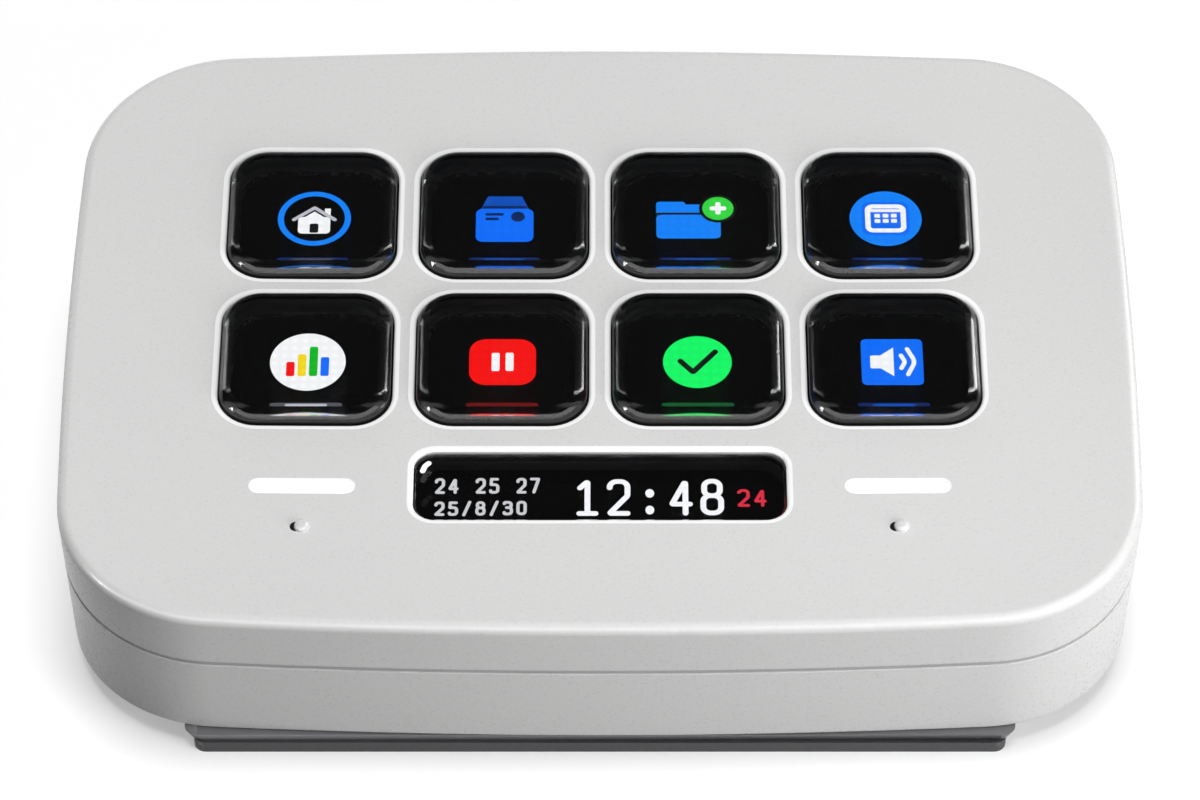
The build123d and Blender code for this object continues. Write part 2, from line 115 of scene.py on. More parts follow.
def sideRun(a, b, radius, count):
    # one side of a rounded rectangle, evenly by length, from the middle of one corner's arc to
    # the middle of the next: quarter arc over eight, straight, and the same again
    eighth = radius * math.pi / 4
    straight = 2 * (a - radius)
    s = np.arange(count) / count * (straight + 2 * eighth)
    turn = np.maximum(radius, 1e-9)
    angle = np.where(s < eighth, (s - eighth) / turn, 0) + np.where(
        s > eighth + straight, (s - eighth - straight) / turn, 0
    )
    centre = np.clip(s - eighth, 0, straight) - (a - radius)
    return np.stack(
        [centre + radius * np.sin(angle), radius - b - radius * np.cos(angle)], axis=-1
    )


def roundLoop(a, b, radius, countA, countB, at=(0.0, 0.0)):
    # rounded rectangle of half sizes a and b: four side runs, each turned a quarter further
    front = sideRun(a, b, radius, countA)
    right = sideRun(b, a, radius, countB)[:, ::-1] * (-1, 1)
    return np.concatenate([front, right, -front, -right]) + np.array(at)


def caseLoop(countFront, countSide):
    # plan of the case with its outward normals: two pairs of shallow arcs, through the corners'
    # chords, joined by circles that touch both from inside
    bowU, bowV = case["sideBow"], case["frontBow"]
    chordU, chordV = halfWidth - bowU, halfLength - bowV
    frontArc = (chordU**2 + bowV**2) / (2 * bowV)
    sideArc = (chordV**2 + bowU**2) / (2 * bowU)
    frontMid = np.array([0, frontArc - halfLength])
    sideMid = np.array([halfWidth - sideArc, 0])
    radius = case["cornerRadius"]
    span = sideMid - frontMid
    apart = math.hypot(*span)
    along = ((frontArc - radius) ** 2 - (sideArc - radius) ** 2 + apart**2) / (2 * apart)
    across = math.sqrt((frontArc - radius) ** 2 - along**2)
    unit = span / apart
    cornerMid = frontMid + along * unit + across * np.array([-unit[1], unit[0]])
    startAngle = math.atan2(*(cornerMid - frontMid)[::-1])
    endAngle = math.atan2(*(cornerMid - sideMid)[::-1])
    halfTurn = (endAngle - startAngle) / 2

    def run(middle, bigRadius, bigAngle, corner, cornerAngle, sign, count):
        # half a side outwards from its middle on the big arc, then on the corner's circle
        big, small = bigRadius * bigAngle, radius * halfTurn
        s = np.linspace(0, big + small, count + 1)
        onBig = s <= big
        angle = np.where(onBig, middle[1] + sign * s / bigRadius, 0)
        angle = np.where(onBig, angle, cornerAngle + sign * (s - big) / radius)
        centre = np.where(onBig[:, None], middle[0], corner)
        reach = np.where(onBig, bigRadius, radius)
        normal = np.stack([np.cos(angle), np.sin(angle)], axis=-1)
        return centre + reach[:, None] * normal, normal

    right = run(
        (frontMid, -math.pi / 2), frontArc, startAngle + math.pi / 2, cornerMid, startAngle, 1,
        countFront // 2,
    )
    lower = run((sideMid, 0.0), sideArc, -endAngle, cornerMid, endAngle, -1, countSide // 2)
    flipU, flipV = np.array([-1, 1]), np.array([1, -1])
    loop = []
    for half, low in zip(right, lower):
        front = np.concatenate([(half * flipU)[::-1][:-1], half[:-1]])
        side = np.concatenate([low[::-1][:-1], (low * flipV)[:-1]])
        loop.append(np.concatenate([front, side, -front, -side]))
    return loop


# --- meshes: grids of points, joined along their seams ---


def show(name, data):
    thing = bpy.data.objects.new(name, data)
    bpy.context.scene.collection.objects.link(thing)
    return thing


def gridCells(index):
    return np.stack([index[:-1, :-1], index[:-1, 1:], index[1:, 1:], index[1:, :-1]], -1)


def makePiece(name, patches, materials, slot, nodes=(), body="case", sharp=32, weld=2e-7):
    # each patch is a grid of points in metres; its cells are quads, its last column is joined to
    # the first, and its material is one number or one for each row of cells
    points, quads, marks = [], [], []
    start = 0
    for patch in patches:
        grid = patch["grid"]
        rows, columns = grid.shape[:2]
        index = np.arange(rows * columns).reshape(rows, columns) + start
        if patch.get("closed", True):
            index = np.hstack([index, index[:, :1]])
        cells = gridCells(index)
        points.append(grid.reshape(-1, 3))
        quads.append(cells.reshape(-1, 4))
        rowMarks = np.reshape(patch.get("material", 0), (-1, 1))
        marks.append(np.broadcast_to(rowMarks, cells.shape[:2]).ravel())
        start += rows * columns
    points, quads, marks = map(np.concatenate, (points, quads, marks))
    mesh = bpy.data.meshes.new(name)
    mesh.vertices.add(len(points))
    mesh.vertices.foreach_set("co", points.astype(np.float32).ravel())
    mesh.loops.add(quads.size)
    mesh.loops.foreach_set("vertex_index", quads.ravel().astype(np.int32))
    mesh.polygons.add(len(quads))
    mesh.polygons.foreach_set("loop_start", np.arange(0, quads.size, 4, dtype=np.int32))
    mesh.polygons.foreach_set("material_index", marks.astype(np.int32))
    mesh.update(calc_edges=True)
    return finishMesh(name, mesh, materials, slot, nodes, body, sharp, weld)


def finishMesh(name, mesh, materials, slot, nodes, body, sharp, weld):
    # seams and poles are welded, faces turned outwards, and edges kept crisp past an angle
    work = bmesh.new()
    work.from_mesh(mesh)
    bmesh.ops.remove_doubles(work, verts=work.verts, dist=weld)
    bmesh.ops.recalc_face_normals(work, faces=work.faces)
    work.to_mesh(mesh)
    work.free()
    mesh.polygons.foreach_set("use_smooth", np.ones(len(mesh.polygons), bool))
    mesh.set_sharp_from_angle(angle=math.radians(sharp))
    for material in materials:
        mesh.materials.append(made[material])
    piece = show(name, mesh)
    even = piece.modifiers.new("even normals", "WEIGHTED_NORMAL")
    even.keep_sharp = True
    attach(piece, body)
    if nodes:
        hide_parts(*nodes)
    return piece


copied = (28, 2e-6)  # sharp angle and welding distance of a carried-over node


def copyOf(nodeName):
    mesh = frame["nodes"][nodeName].data.copy()
    mesh.materials.clear()
    return mesh


def smoothNode(nodeName, material, slot):
    # a copy of a carried-over node whose loose triangles are merged, so that its rounds shade
    # as rounds
    return finishMesh(
        nodeName + "_skin", copyOf(nodeName), [material], slot, [nodeName],
        frame["nodes"][nodeName]["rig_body"], *copied,
    )


def between(first, second, shares):
    # rows that go in a straight line from one loop to another
    shares = np.asarray(shares, float)[:, None, None]
    return first * (1 - shares) + second * shares


def onFace(rows):
    return laid(rows, dish(rows))


def atDepth(rows, depth):
    # rows of (u, v) at a depth below the rim, one for all or one for each row
    depth = np.asarray(depth, float)
    return laid(rows, -(depth[:, None] if depth.ndim else depth))


def roundProfile(corners, radii, steps):
    # a bent line in a plane with an arc in each inner corner: each arc starts and ends at
    # radius times tan(half the turn) from its corner
    corners = np.asarray(corners, float)
    points = [corners[:1]]
    for before, corner, after, radius in zip(corners, corners[1:], corners[2:], radii):
        back = (before - corner) / np.linalg.norm(before - corner)
        ahead = (after - corner) / np.linalg.norm(after - corner)
        if radius == 0:
            points.append(corner[None])
            continue
        opening = math.acos(np.clip(back @ ahead, -1, 1))
        reach = radius / math.tan(opening / 2)
        middle = (back + ahead) / np.linalg.norm(back + ahead)
        centre = corner + middle * radius / math.sin(opening / 2)
        first, last = corner + back * reach - centre, corner + ahead * reach - centre
        turn = math.pi - opening
        share = np.linspace(0, 1, steps + 1)[:, None]
        arc = (first * np.sin((1 - share) * turn) + last * np.sin(share * turn)) / math.sin(turn)
        points.append(centre + arc)
    points.append(corners[-1:])
    return np.concatenate(points)


# --- materials ---


def linear(hexColour):
    # sRGB hex to linear light, by the sRGB curve
    values = np.array([int(hexColour[i : i + 2], 16) for i in (1, 3, 5)]) / 255
    light = np.where(values <= 0.04045, values / 12.92, ((values + 0.055) / 1.055) ** 2.4)
    return (*light, 1.0)


def add(tree, kind, settings=None, links=None):
    # adds a shader node: settings are inputs by name or number, or properties, and links feed
    # inputs from outputs
    node = tree.nodes.new("ShaderNode" + kind)
    for key, value in (settings or {}).items():
        if isinstance(key, int) or key in node.inputs:
            node.inputs[key].default_value = value
        else:
            setattr(node, key, value)
    for key, output in (links or {}).items():
        tree.links.new(output, node.inputs[key])
    return node


def newMaterial(name):
    material = bpy.data.materials.new(name)
    material.use_nodes = True
    material.node_tree.nodes.clear()
    return material, material.node_tree


def output(tree, surface, socket="BSDF"):
    # a shader's last link, to the material's output
    add(tree, "OutputMaterial", links={"Surface": surface.outputs[socket]})


def noise(tree, size, detail, roughness=0.5):
    # clouds of about size millimetres, in the object's own coordinates
    coords = add(tree, "TexCoord")
    return add(
        tree, "TexNoise",
        {"Scale": 1000 / size, "Detail": detail, "Roughness": roughness},
        {"Vector": coords.outputs["Object"]},
    ).outputs["Fac"]


def ramp(tree, value, low, high, start=0.3, end=0.7):
    # a value carried over from the range of start to end, where most of a noise lies
    return add(
        tree, "MapRange",
        {"From Min": start, "From Max": end, "To Min": low, "To Max": high}, {"Value": value},
    ).outputs["Result"]


def bumps(tree, value, height):
    # a surface lifted by a value, by up to height millimetres
    return add(
        tree, "Bump", {"Strength": 1.0, "Distance": height * 0.001}, {"Height": value}
    ).outputs["Normal"]


def moulded(name, colour, shade, roughness, grain, height, settings, drift=30.0):
    # base for moulded, cast, rolled and pressed surfaces: a fine grain lifts the surface and
    # varies its gloss, and a slow drift varies its colour
    material, tree = newMaterial(name)
    fine = noise(tree, grain, 2.0, 0.55)
    tint = add(
        tree, "Mix", {"data_type": "RGBA", 6: linear(colour), 7: linear(shade)},
        {0: noise(tree, drift, 3.0)},
    )
    surface = add(
        tree, "BsdfPrincipled", settings,
        {
            "Base Color": tint.outputs[2],
            "Roughness": ramp(tree, fine, *roughness),
            "Normal": bumps(tree, fine, height),
        },
    )
    output(tree, surface)
    return material


# colour and its shade, roughness from and to, the grain's size and height in millimetres, what
# else the shader is set to, and for one the size of the drift
finishes = {
    # moulded ABS with a fine spark-eroded texture: soft white, a wide satin highlight
    "white_abs": ("#dcdcdb", "#d8d8d8", (0.26, 0.32), 0.28, 0.0005, {"IOR": 1.54}),
    # the same ABS where the tool is polished, round the openings: a bright, sharp line, its
    # colour lighter than the shell's as a painted highlight
    "polished_abs_painted_highlight": ("#ffffff", "#fbfbfb", (0.12, 0.18), 0.4, 0.0005, {"IOR": 1.54}),
    # moulded PC/ABS, unpainted grey: duller than the shells
    "grey_abs": ("#77777a", "#6c6c6f", (0.36, 0.5), 0.35, 0.008, {"IOR": 1.54}),
    # cast polyurethane rubber: dark, with a broad weak sheen
    "foot_rubber": ("#4a4a4c", "#414143", (0.42, 0.6), 0.5, 0.02, {"IOR": 1.5}),
    # moulded black polycarbonate: a plain dark satin
    "black_pc": ("#17171a", "#121214", (0.3, 0.42), 0.3, 0.004, {"IOR": 1.58}),
    # painted shade: the key's sides below the bevel are black and glossy,
    # so that the gap stays dark
    "cap_skirt_painted_shade": ("#060607", "#08080a", (0.12, 0.2), 0.5, 0.001, {"IOR": 1.58}),
    # cover glass on an LCD's black: its coating takes most of the mirror away
    "cover_glass": (
        "#050506", "#070708", (0.06, 0.1), 0.2, 0.0002, {"IOR": 1.5, "Specular IOR Level": 0.15}
    ),
    # pressed silicone rubber, black: matt and slightly dusty
    "silicone": ("#101011", "#151516", (0.55, 0.7), 0.4, 0.01, {"IOR": 1.41}),
    # printed PET film: thin, black, half gloss
    "pet_film": ("#0c0c0d", "#101012", (0.22, 0.3), 0.6, 0.002, {"IOR": 1.57}),
    # closed-cell polyurethane foam: black, pitted, no gloss
    "gasket_foam": ("#0e0e0f", "#060607", (0.85, 0.95), 0.25, 0.05, {"IOR": 1.45}),
    # nickel-plated steel, deep drawn: bright grey with fine drawing marks
    "plated_steel": ("#c3c1bb", "#aeaca6", (0.22, 0.36), 0.15, 0.002, {"Metallic": 1.0}),
    # black-oxide steel screws: dark metal with an oily gleam
    "black_steel": ("#3a3a3c", "#2c2c2e", (0.32, 0.5), 0.2, 0.006, {"Metallic": 1.0}),
    # hot-dip galvanised steel plate: grey with cloudy spangle
    "zinc_steel": ("#9fa2a4", "#7f8285", (0.35, 0.6), 2.5, 0.01, {"Metallic": 1.0}, 6.0),
    # glass-fibre laminate under dark green solder mask: smooth, the weave just shows
    "laminate": ("#12211a", "#0d1813", (0.25, 0.4), 0.5, 0.006, {"IOR": 1.55}),
    # thermoplastic elastomer, extruded, light grey: matt, so that the joint reads as a soft line
    "seal_tpe": ("#b4b4b4", "#acacac", (0.6, 0.7), 0.3, 0.004, {"IOR": 1.5}),
    # transfer-moulded epoxy of a chip: dead matt black
    "epoxy": ("#1c1c1d", "#161617", (0.6, 0.75), 0.12, 0.006, {"IOR": 1.55}),
    # liquid-crystal polymer of connectors: chalky ivory
    "connector_lcp": ("#cfc8b4", "#c2bba6", (0.5, 0.62), 0.2, 0.004, {"IOR": 1.6}),
    # polyimide flex with copper under it: amber, half gloss
    "polyimide": ("#8a5a1c", "#7a4c14", (0.25, 0.38), 0.4, 0.002, {"IOR": 1.68}),
    # clear silicone over a lamp's chip: pale yellow, soft
    "lamp_resin": ("#e8dfa0", "#ddd28c", (0.3, 0.4), 0.2, 0.002, {"IOR": 1.41}),
}
made = {name: moulded(name, *spec) for name, spec in finishes.items()}
clearIor = 1.49  # acrylic


def clearPlastic(name, colour, roughness, wave, height):
    # polished clear plastic: light goes through, a slow waviness bends the reflections a little
    material, tree = newMaterial(name)
    settings = {
        "Base Color": linear(colour), "Roughness": roughness, "IOR": clearIor,
        "Transmission Weight": 1.0,
    }
    normal = bumps(tree, noise(tree, wave, 1.0), height)
    output(tree, add(tree, "BsdfPrincipled", settings, {"Normal": normal}))
    made[name] = material


def litPlastic(name, colour, cloud, light):
    # an opal light guide with lamps behind it: it glows, a little unevenly in soft clouds
    material, tree = newMaterial(name)
    settings = {
        "Base Color": linear(colour), "Emission Color": linear(colour), "Roughness": 0.3,
        "IOR": clearIor,
    }
    strength = ramp(tree, noise(tree, cloud, 1.0), *light)
    output(tree, add(tree, "BsdfPrincipled", settings, {"Emission Strength": strength}))
    made[name] = material


pixels = {
    "bands": 312.5,  # the wave's scale, for rows and columns about a millimetre apart
    "swing": (0.95, 1.04), "off": (0.005, 0.005, 0.005, 1),
}


def screenColour(name, hexColour, strength=1.1):
    # pixels of the display: they give their own light, which faint rows and columns dim a little
    material, tree = newMaterial(name)
    coords = add(tree, "TexCoord")
    rows, columns = (
        add(
            tree, "TexWave",
            {"bands_direction": direction, "Scale": pixels["bands"], "Distortion": 0.0},
            {"Vector": coords.outputs["Object"]},
        ).outputs["Fac"]
        for direction in ("X", "Y")
    )
    crossed = add(tree, "Math", {"operation": "MULTIPLY"}, {0: rows, 1: columns})
    low, high = pixels["swing"]
    glow = ramp(tree, crossed.outputs["Value"], low * strength, high * strength, 0.0, 1.0)
    settings = {
        "Base Color": pixels["off"], "Emission Color": linear(hexColour), "Roughness": 0.4
    }
    output(tree, add(tree, "BsdfPrincipled", settings, {"Emission Strength": glow}))
    made[name] = material


# injection-moulded clear acrylic, polished: sharp glints on the bevels
clearPlastic("clear_cap", "#f4f6f8", 0.03, 6.0, 0.004)
# the same moulding's bevel, left as the tool was stoned: it smears what shows through it; its
# tint, greyer than the crown's, is painted shade that darkens the bevel
clearPlastic("satin_cap_painted_shade", "#c9ccd2", 0.13, 3.0, 0.01)
# cast acrylic window with a grey tint: darkens what lies under it
clearPlastic("tinted_lens", "#d9dade", 0.02, 12.0, 0.003)
litPlastic("light_guide", "#ffffff", 5.0, (0.9, 1.15))
inks = {
    "white": "#ffffff", "silver": "#c4c4cd", "ash": "#f0f0f0", "sky": "#0a86ff",
    "azure": "#0070ff", "navy": "#0050bc", "dusk": "#06225c", "dim": "#55565c",
    "maroon": "#6a0808", "moss": "#0a5a2a", "green": "#0cff68", "lime": "#34dc40",
    "leaf": "#00bc1c", "red": "#ff0402", "rose": "#ff3850", "yellow": "#ffe010",
    "black": "#060608",
}
for name, ink in inks.items():
    screenColour(f"{name}_ink", ink)
screenColour("bright_ink", "#ffffff", 1.5)  # read through the tinted lens
print("materials made:", len(made))

# --- top shell: the dished face with its openings, the rim, the wall and the inner side ---

shell = {
    "wall": 2.0, "skinDepth": 2.4, "partingDepth": 6.95, "rimRadius": 1.0, "seamRadius": 0.25,
    "lipHeight": 1.5, "lipStep": 0.78,  # what is left of the wall in front of the tongue
    "rimSteps": 10, "rimRounds": 8,  # enough for the rim's ball to settle
    "faceRings": 16, "cellRings": 6, "crowding": 1.4,  # draws a cell's rings to its opening
    "wallRows": (3.2, 5.0), "sharp": 40,
    "keyEdge": (0.2, 0.04, 0.36),  # chamfer, its soft ends, and the polished land round it: painted highlight
    "slotEdge": (0.06, 0.02, 0.06),
    "keyOpening": (8.7, 8.7, 4.0),  # half width, half length, corner radius
    "infoOpening": (18.3, 4.4, 2.1), "slotOpening": (5.1, 0.85, 0.84),
    "infoV": -20.05, "slotV": -20.25, "slotU": 29.2,
    "lowerRow": 13.3,  # height of the cells of the window and the slots
    "keyCount": 24, "lowerCount": 16,  # points along one side of a cell
}


def softChamfer(width, soft, land):
    # section of an opening's edge, from the straight wall up to the face and on over its polished
    # land, whose lighter colour is a painted highlight: (outwards, down)
    return np.array([
        (0.0, width + 2 * soft), (0.0, width + soft), (soft * 0.5, width - soft * 0.6),
        (width * 0.5, width * 0.5), (width - soft * 0.6, soft * 0.5), (width + soft, 0.0),
        (width + soft + land, 0.0),
    ])


def openingCell(opening, centre, cellHalf, cellCentre, counts, edge):
    # a rectangle of the face with an opening in it: the opening's wall, its softened edge, and
    # rings that turn into the rectangle, with the same below for the inner side
    a, b, radius = opening
    skin = shell["skinDepth"]

    def loop(out):
        return roundLoop(a + out, b + out, radius + out, *counts, at=centre)

    frameLoop = roundLoop(*cellHalf, 0.0, *counts, at=cellCentre)
    lip = np.stack([loop(out) for out, _ in edge])
    drop = np.array([down for _, down in edge])[:, None]
    lipPoints = laid(lip, dish(lip) - drop)
    shares = np.linspace(0, 1, shell["cellRings"]) ** shell["crowding"]
    rings = onFace(between(lip[-1], frameLoop, shares))
    wallTop = dish(lip[0]) - edge[0][1]
    wall = laid(np.stack([lip[0]] * 2), np.stack([np.full_like(wallTop, -skin), wallTop]))
    inner = atDepth(between(lip[0], frameLoop, (0, 0.5, 1)), skin)
    # the edge and its land take the second material, whose lighter colour is a painted highlight
    return [
        {"grid": wall}, {"grid": lipPoints, "material": 1}, {"grid": rings}, {"grid": inner}
    ]


def rimSection(loop, normal):
    # a ball of the rim's radius rolls between the dished face and the drafted wall; its centre
    # is found for each point of the loop at once, by going back and forth between the two
    radius = shell["rimRadius"]
    lay = math.hypot(1, lean)
    touch = np.full(len(loop), radius)
    for _ in range(shell["rimRounds"]):
        at = loop - normal * touch[:, None]
        step = 0.01
        ahead = loop - normal * (touch + step)[:, None]
        height = dish(at)
        slope = (dish(ahead) - height) / step
        size = np.hypot(1, slope)
        depth = radius * lean / lay - height + radius / size
        touch = lean * depth + radius / lay - radius * slope / size
    centreIn, centreUp = lean * depth + radius / lay, radius * lean / lay - depth
    first = np.arctan2(1, -slope)
    last = math.pi + math.atan(lean)
    angle = first + np.linspace(0, 1, shell["rimSteps"] + 1)[:, None] * (last - first)
    return centreIn + radius * np.cos(angle), centreUp + radius * np.sin(angle)


pitch = case["keyPitch"]
blockLeft, blockTop = -2 * pitch, case["keyBlockV"] + pitch
rowTop = case["keyBlockV"] - pitch
blockBottom = rowTop - shell["lowerRow"]
keyCount, lowerCount = shell["keyCount"], shell["lowerCount"]
keyEdge, slotEdge = softChamfer(*shell["keyEdge"]), softChamfer(*shell["slotEdge"])
rowMiddle = (rowTop + blockBottom) / 2
topPatches = []
for spot in keySpots:
    topPatches += openingCell(
        shell["keyOpening"], spot, (pitch / 2, pitch / 2), spot, (keyCount, keyCount), keyEdge
    )
topPatches += openingCell(
    shell["infoOpening"], (0, shell["infoV"]), (pitch, shell["lowerRow"] / 2), (0, rowMiddle),
    (2 * keyCount, lowerCount), keyEdge,
)
for side in (-1, 1):
    topPatches += openingCell(
        shell["slotOpening"], (side * shell["slotU"], shell["slotV"]),
        (pitch / 2, shell["lowerRow"] / 2), (side * 1.5 * pitch, rowMiddle),
        (keyCount, lowerCount), slotEdge,
    )


def stops(places, counts):
    # evenly from place to place, without the last
    spans = zip(places, places[1:], counts)
    return np.concatenate([np.linspace(a, b, count + 1)[:-1] for a, b, count in spans])


# the rim of the block of cells, counted like the cells along it
along = stops((blockLeft, -blockLeft), (4 * keyCount,))
up = stops((blockBottom, rowTop, blockTop), (lowerCount, 2 * keyCount))
down = stops((blockTop, rowTop, blockBottom), (2 * keyCount, lowerCount))
blockSides = (along, blockBottom), (-blockLeft, up), (-along, blockTop), (blockLeft, down)
blockLoop = np.concatenate([np.stack(np.broadcast_arrays(u, v), -1) for u, v in blockSides])
outline, outward = caseLoop(4 * keyCount, lowerCount + 2 * keyCount)


def inset(amount):
    # the case's loop moved inwards, by one amount or by one for each row
    amount = np.asarray(amount, float)
    amount = amount[..., None] if amount.ndim == 2 else amount.reshape(-1, 1, 1)
    return outline[None] - outward[None] * amount


rimIn, rimUp = rimSection(outline, outward)
rimRows = inset(rimIn)
faceRows = between(blockLoop, rimRows[0], np.linspace(0, 1, shell["faceRings"]))
seam, parting = shell["seamRadius"], shell["partingDepth"]
quarter = np.radians(np.linspace(0, 90, 5))
wallDepths = np.concatenate([shell["wallRows"], parting - seam * (1 - np.sin(quarter))])
wallInsets = wallDepths * lean + np.concatenate([[0, 0], seam * (1 - np.cos(quarter))])
lipTop = parting - shell["lipHeight"]
insideDepths = [parting, parting, lipTop, lipTop, shell["skinDepth"]]
insideInsets = [
    wallInsets[-1], shell["lipStep"] + parting * lean, shell["lipStep"] + lipTop * lean,
    shell["wall"] + lipTop * lean, shell["wall"] + shell["skinDepth"] * lean,
]
wallTopRow = laid(rimRows[-1], rimUp[-1])[None]
topPatches += [
    {"grid": onFace(faceRows)},
    {"grid": laid(rimRows, rimUp)},
    {"grid": np.concatenate([wallTopRow, atDepth(inset(wallInsets), wallDepths)])},
    {"grid": atDepth(inset(insideInsets), insideDepths)},
    {"grid": atDepth(
        between(inset([insideInsets[-1]])[0], blockLoop, np.linspace(0, 1, 5)),
        shell["skinDepth"],
    )},
]


def tube(spot, outer, inner, topDepth, bottomDepth, blind, count=32):
    # a boss: a ring carried down square to the face, with a blind hole up its middle
    angle = np.arange(count) / count * 2 * math.pi
    radii = np.array([0, outer, outer, inner, inner, 0.0])[:, None]
    depths = np.repeat([topDepth, bottomDepth, blind], 2)[:, None]
    return place(spot[0] + radii * np.cos(angle), spot[1] + radii * np.sin(angle), -depths)


bosses = [
    ([(s * 44.95, t * 29.8) for s in (-1, 1) for t in (-1, 1)], (2.3, 1.05, 2.3, 9.0, 3.4)),
    ([(s * 45.8, v) for s in (-1, 1) for v in (-20.0, 18.0)], (2.4, 0.85, 2.3, 7.3, 3.4)),
]
for spots, boss in bosses:
    topPatches += [{"grid": tube(spot, *boss)} for spot in spots]
makePiece(
    "top_shell_skin", topPatches, ["white_abs", "polished_abs_painted_highlight"], "white_shell", ["top_shell"],
    sharp=shell["sharp"],
)
print("top shell made")

# --- soft seal in the joint between the shells: a band just behind the wall ---

seal = {"back": 0.14, "thick": 0.45, "depths": (6.97, 7.38)}
sealDepths = np.take(seal["depths"], [0, 1, 1, 0, 0])
sealInsets = seal["back"] + sealDepths * lean + seal["thick"] * np.array([0, 0, 1, 1, 0])
makePiece(
    "joint_seal", [{"grid": atDepth(inset(sealInsets), sealDepths)}], ["seal_tpe"], "gasket_foam"
)
print("joint seal made")

# --- touch nibs: a dome on the face, with a dark disc under its left side as painted shadow ---

nib = {
    "u": 29.2, "v": -25.5, "radius": 0.74, "height": 0.5, "round": 0.45, "sunk": 0.15,
    "domeShift": 0.16, "shadowShift": -0.4, "shadowRadius": 0.6, "shadowHeight": 0.03,
    "shadowRound": 0.02, "steps": 6, "count": 40,
}


def roundDome(spot, radius, height, rounding):
    # a turned shape on the face: flat top, rounded shoulder, upright side down into the face
    profile = [(0, height), (radius, height), (radius, -nib["sunk"])]
    profile = roundProfile(profile, [rounding], nib["steps"])
    profile = np.concatenate([profile, [(0, -nib["sunk"])]])
    reach, lift = profile[:, :1], profile[:, 1:]
    around = np.arange(nib["count"]) / nib["count"] * 2 * math.pi
    lift = dish(np.array(spot)) + lift
    return place(spot[0] + reach * np.cos(around), spot[1] + reach * np.sin(around), lift)


for side, name in ((-1, "left"), (1, "right")):
    middle = side * nib["u"]
    at = (middle + nib["domeShift"], nib["v"])
    dome = roundDome(at, nib["radius"], nib["height"], nib["round"])
    makePiece(f"touch_nib_{name}", [{"grid": dome}], ["white_abs"], "white_shell")
    # a flat black disc beside the dome's left: painted shadow of the nib
    at = (middle + nib["shadowShift"], nib["v"])
    shadowDisc = roundDome(at, nib["shadowRadius"], nib["shadowHeight"], nib["shadowRound"])
    makePiece(f"painted_nib_shadow_{name}", [{"grid": shadowDisc}], ["black_pc"], "black_plastic")
print("touch nibs made")

# --- clear keys: a bevelled cap with a flange under the face ---

cap = {
    "half": 8.5, "radius": 3.8, "leastRadius": 0.4, "crownHalf": 7.3, "bevelHeight": 0.85,
    "middle": 2.0,  # half size of the innermost loop, round the pole
    "bevelMiddle": (8.06, 0.3),  # the bevel swells a little over its chord
    "shadeLine": (8.444, 0.78),  # clear above it, black below as painted shade
    "rounds": (0.12, 1.5, 0, 0.2, 0, 0.12, 0.12, 0, 0),  # of its section, from the crown down
    "flangeHalf": 9.25, "flangeDepths": (2.45, 3.15), "bottomDepth": 3.2,
    "steps": 5, "count": 32, "sharp": 40,
}
hair = 0.01  # mm: less than any step of a profile


def slab(profile, half, radius, leastRadius, counts, centre):
    # a solid of stacked rounded rectangles, closed by a pole at its top and at its bottom: the
    # profile says how far each reaches past the half sizes, and how deep it lies. The middle
    # depth of each row of cells comes with it
    rows = np.stack([
        roundLoop(half[0] + out, half[1] + out, max(radius + out, leastRadius), *counts, centre)
        for out in profile[:, 0]
    ])
    pole = np.broadcast_to(np.array(centre), rows[:1].shape)
    depths = np.concatenate([profile[:1, 1], profile[:, 1], profile[-1:, 1]])
    return atDepth(np.concatenate([pole, rows, pole]), depths), (depths[1:] + depths[:-1]) / 2


flangeTop, flangeBottom = cap["flangeDepths"]
capProfile = roundProfile(
    [
        (cap["middle"], 0.0), (cap["crownHalf"], 0.0), cap["bevelMiddle"], cap["shadeLine"],
        (cap["half"], cap["bevelHeight"]),
        (cap["half"], flangeTop), (cap["flangeHalf"], flangeTop),
        (cap["flangeHalf"], flangeBottom), (cap["half"], flangeBottom),
        (cap["half"], cap["bottomDepth"]), (cap["middle"], cap["bottomDepth"]),
    ],
    cap["rounds"], cap["steps"],
) - (cap["half"], 0)
for number, spot in enumerate(keySpots, start=1):
    grid, middles = slab(
        capProfile, (cap["half"],) * 2, cap["radius"], cap["leastRadius"], (cap["count"],) * 2,
        spot,
    )
    # clear crown and bottom, satin bevel, and the black skirt as painted shade
    bevel, skirt = middles < cap["shadeLine"][1], middles < cap["bottomDepth"] - hair
    marks = np.select([middles < hair, bevel, skirt], [0, 1, 2], 0)
    makePiece(
        f"key_{number}_cap", [{"grid": grid, "material": marks}],
        ["clear_cap", "satin_cap_painted_shade", "cap_skirt_painted_shade"], "clear_key", [f"key_cap_{number}"],
        f"key_{number}", cap["sharp"],
    )
print("keys made:", len(keySpots))

# --- the info window: a tinted slab that fills its opening, on a flange under the face ---

window = {
    "half": (18.15, 4.25), "radius": 1.95, "leastRadius": 0.05, "v": -20.05, "inner": -1.6,
    "top": 1.604, "edge": 0.2, "flange": 1.45, "flangeTop": 2.4, "bottom": 2.9,
    "counts": (48, 16),
}
windowProfile = roundProfile(
    [
        (window["inner"], window["top"]), (0, window["top"]), (0, window["flangeTop"]),
        (window["flange"], window["flangeTop"]), (window["flange"], window["bottom"]),
        (window["inner"], window["bottom"]),
    ],
    [window["edge"], 0, 0, 0], cap["steps"],
)
grid, middles = slab(
    windowProfile, window["half"], window["radius"], window["leastRadius"], window["counts"],
    (0, window["v"]),
)
# clear top and bottom, black sides and flange
side = (middles > window["top"] + window["edge"] / 2) & (middles < window["bottom"] - hair)
makePiece(
    "info_window_lens", [{"grid": grid, "material": side.astype(int)}],
    ["tinted_lens", "black_pc"], "window_lens", ["info_window"], sharp=cap["sharp"],
)
print("info window made")
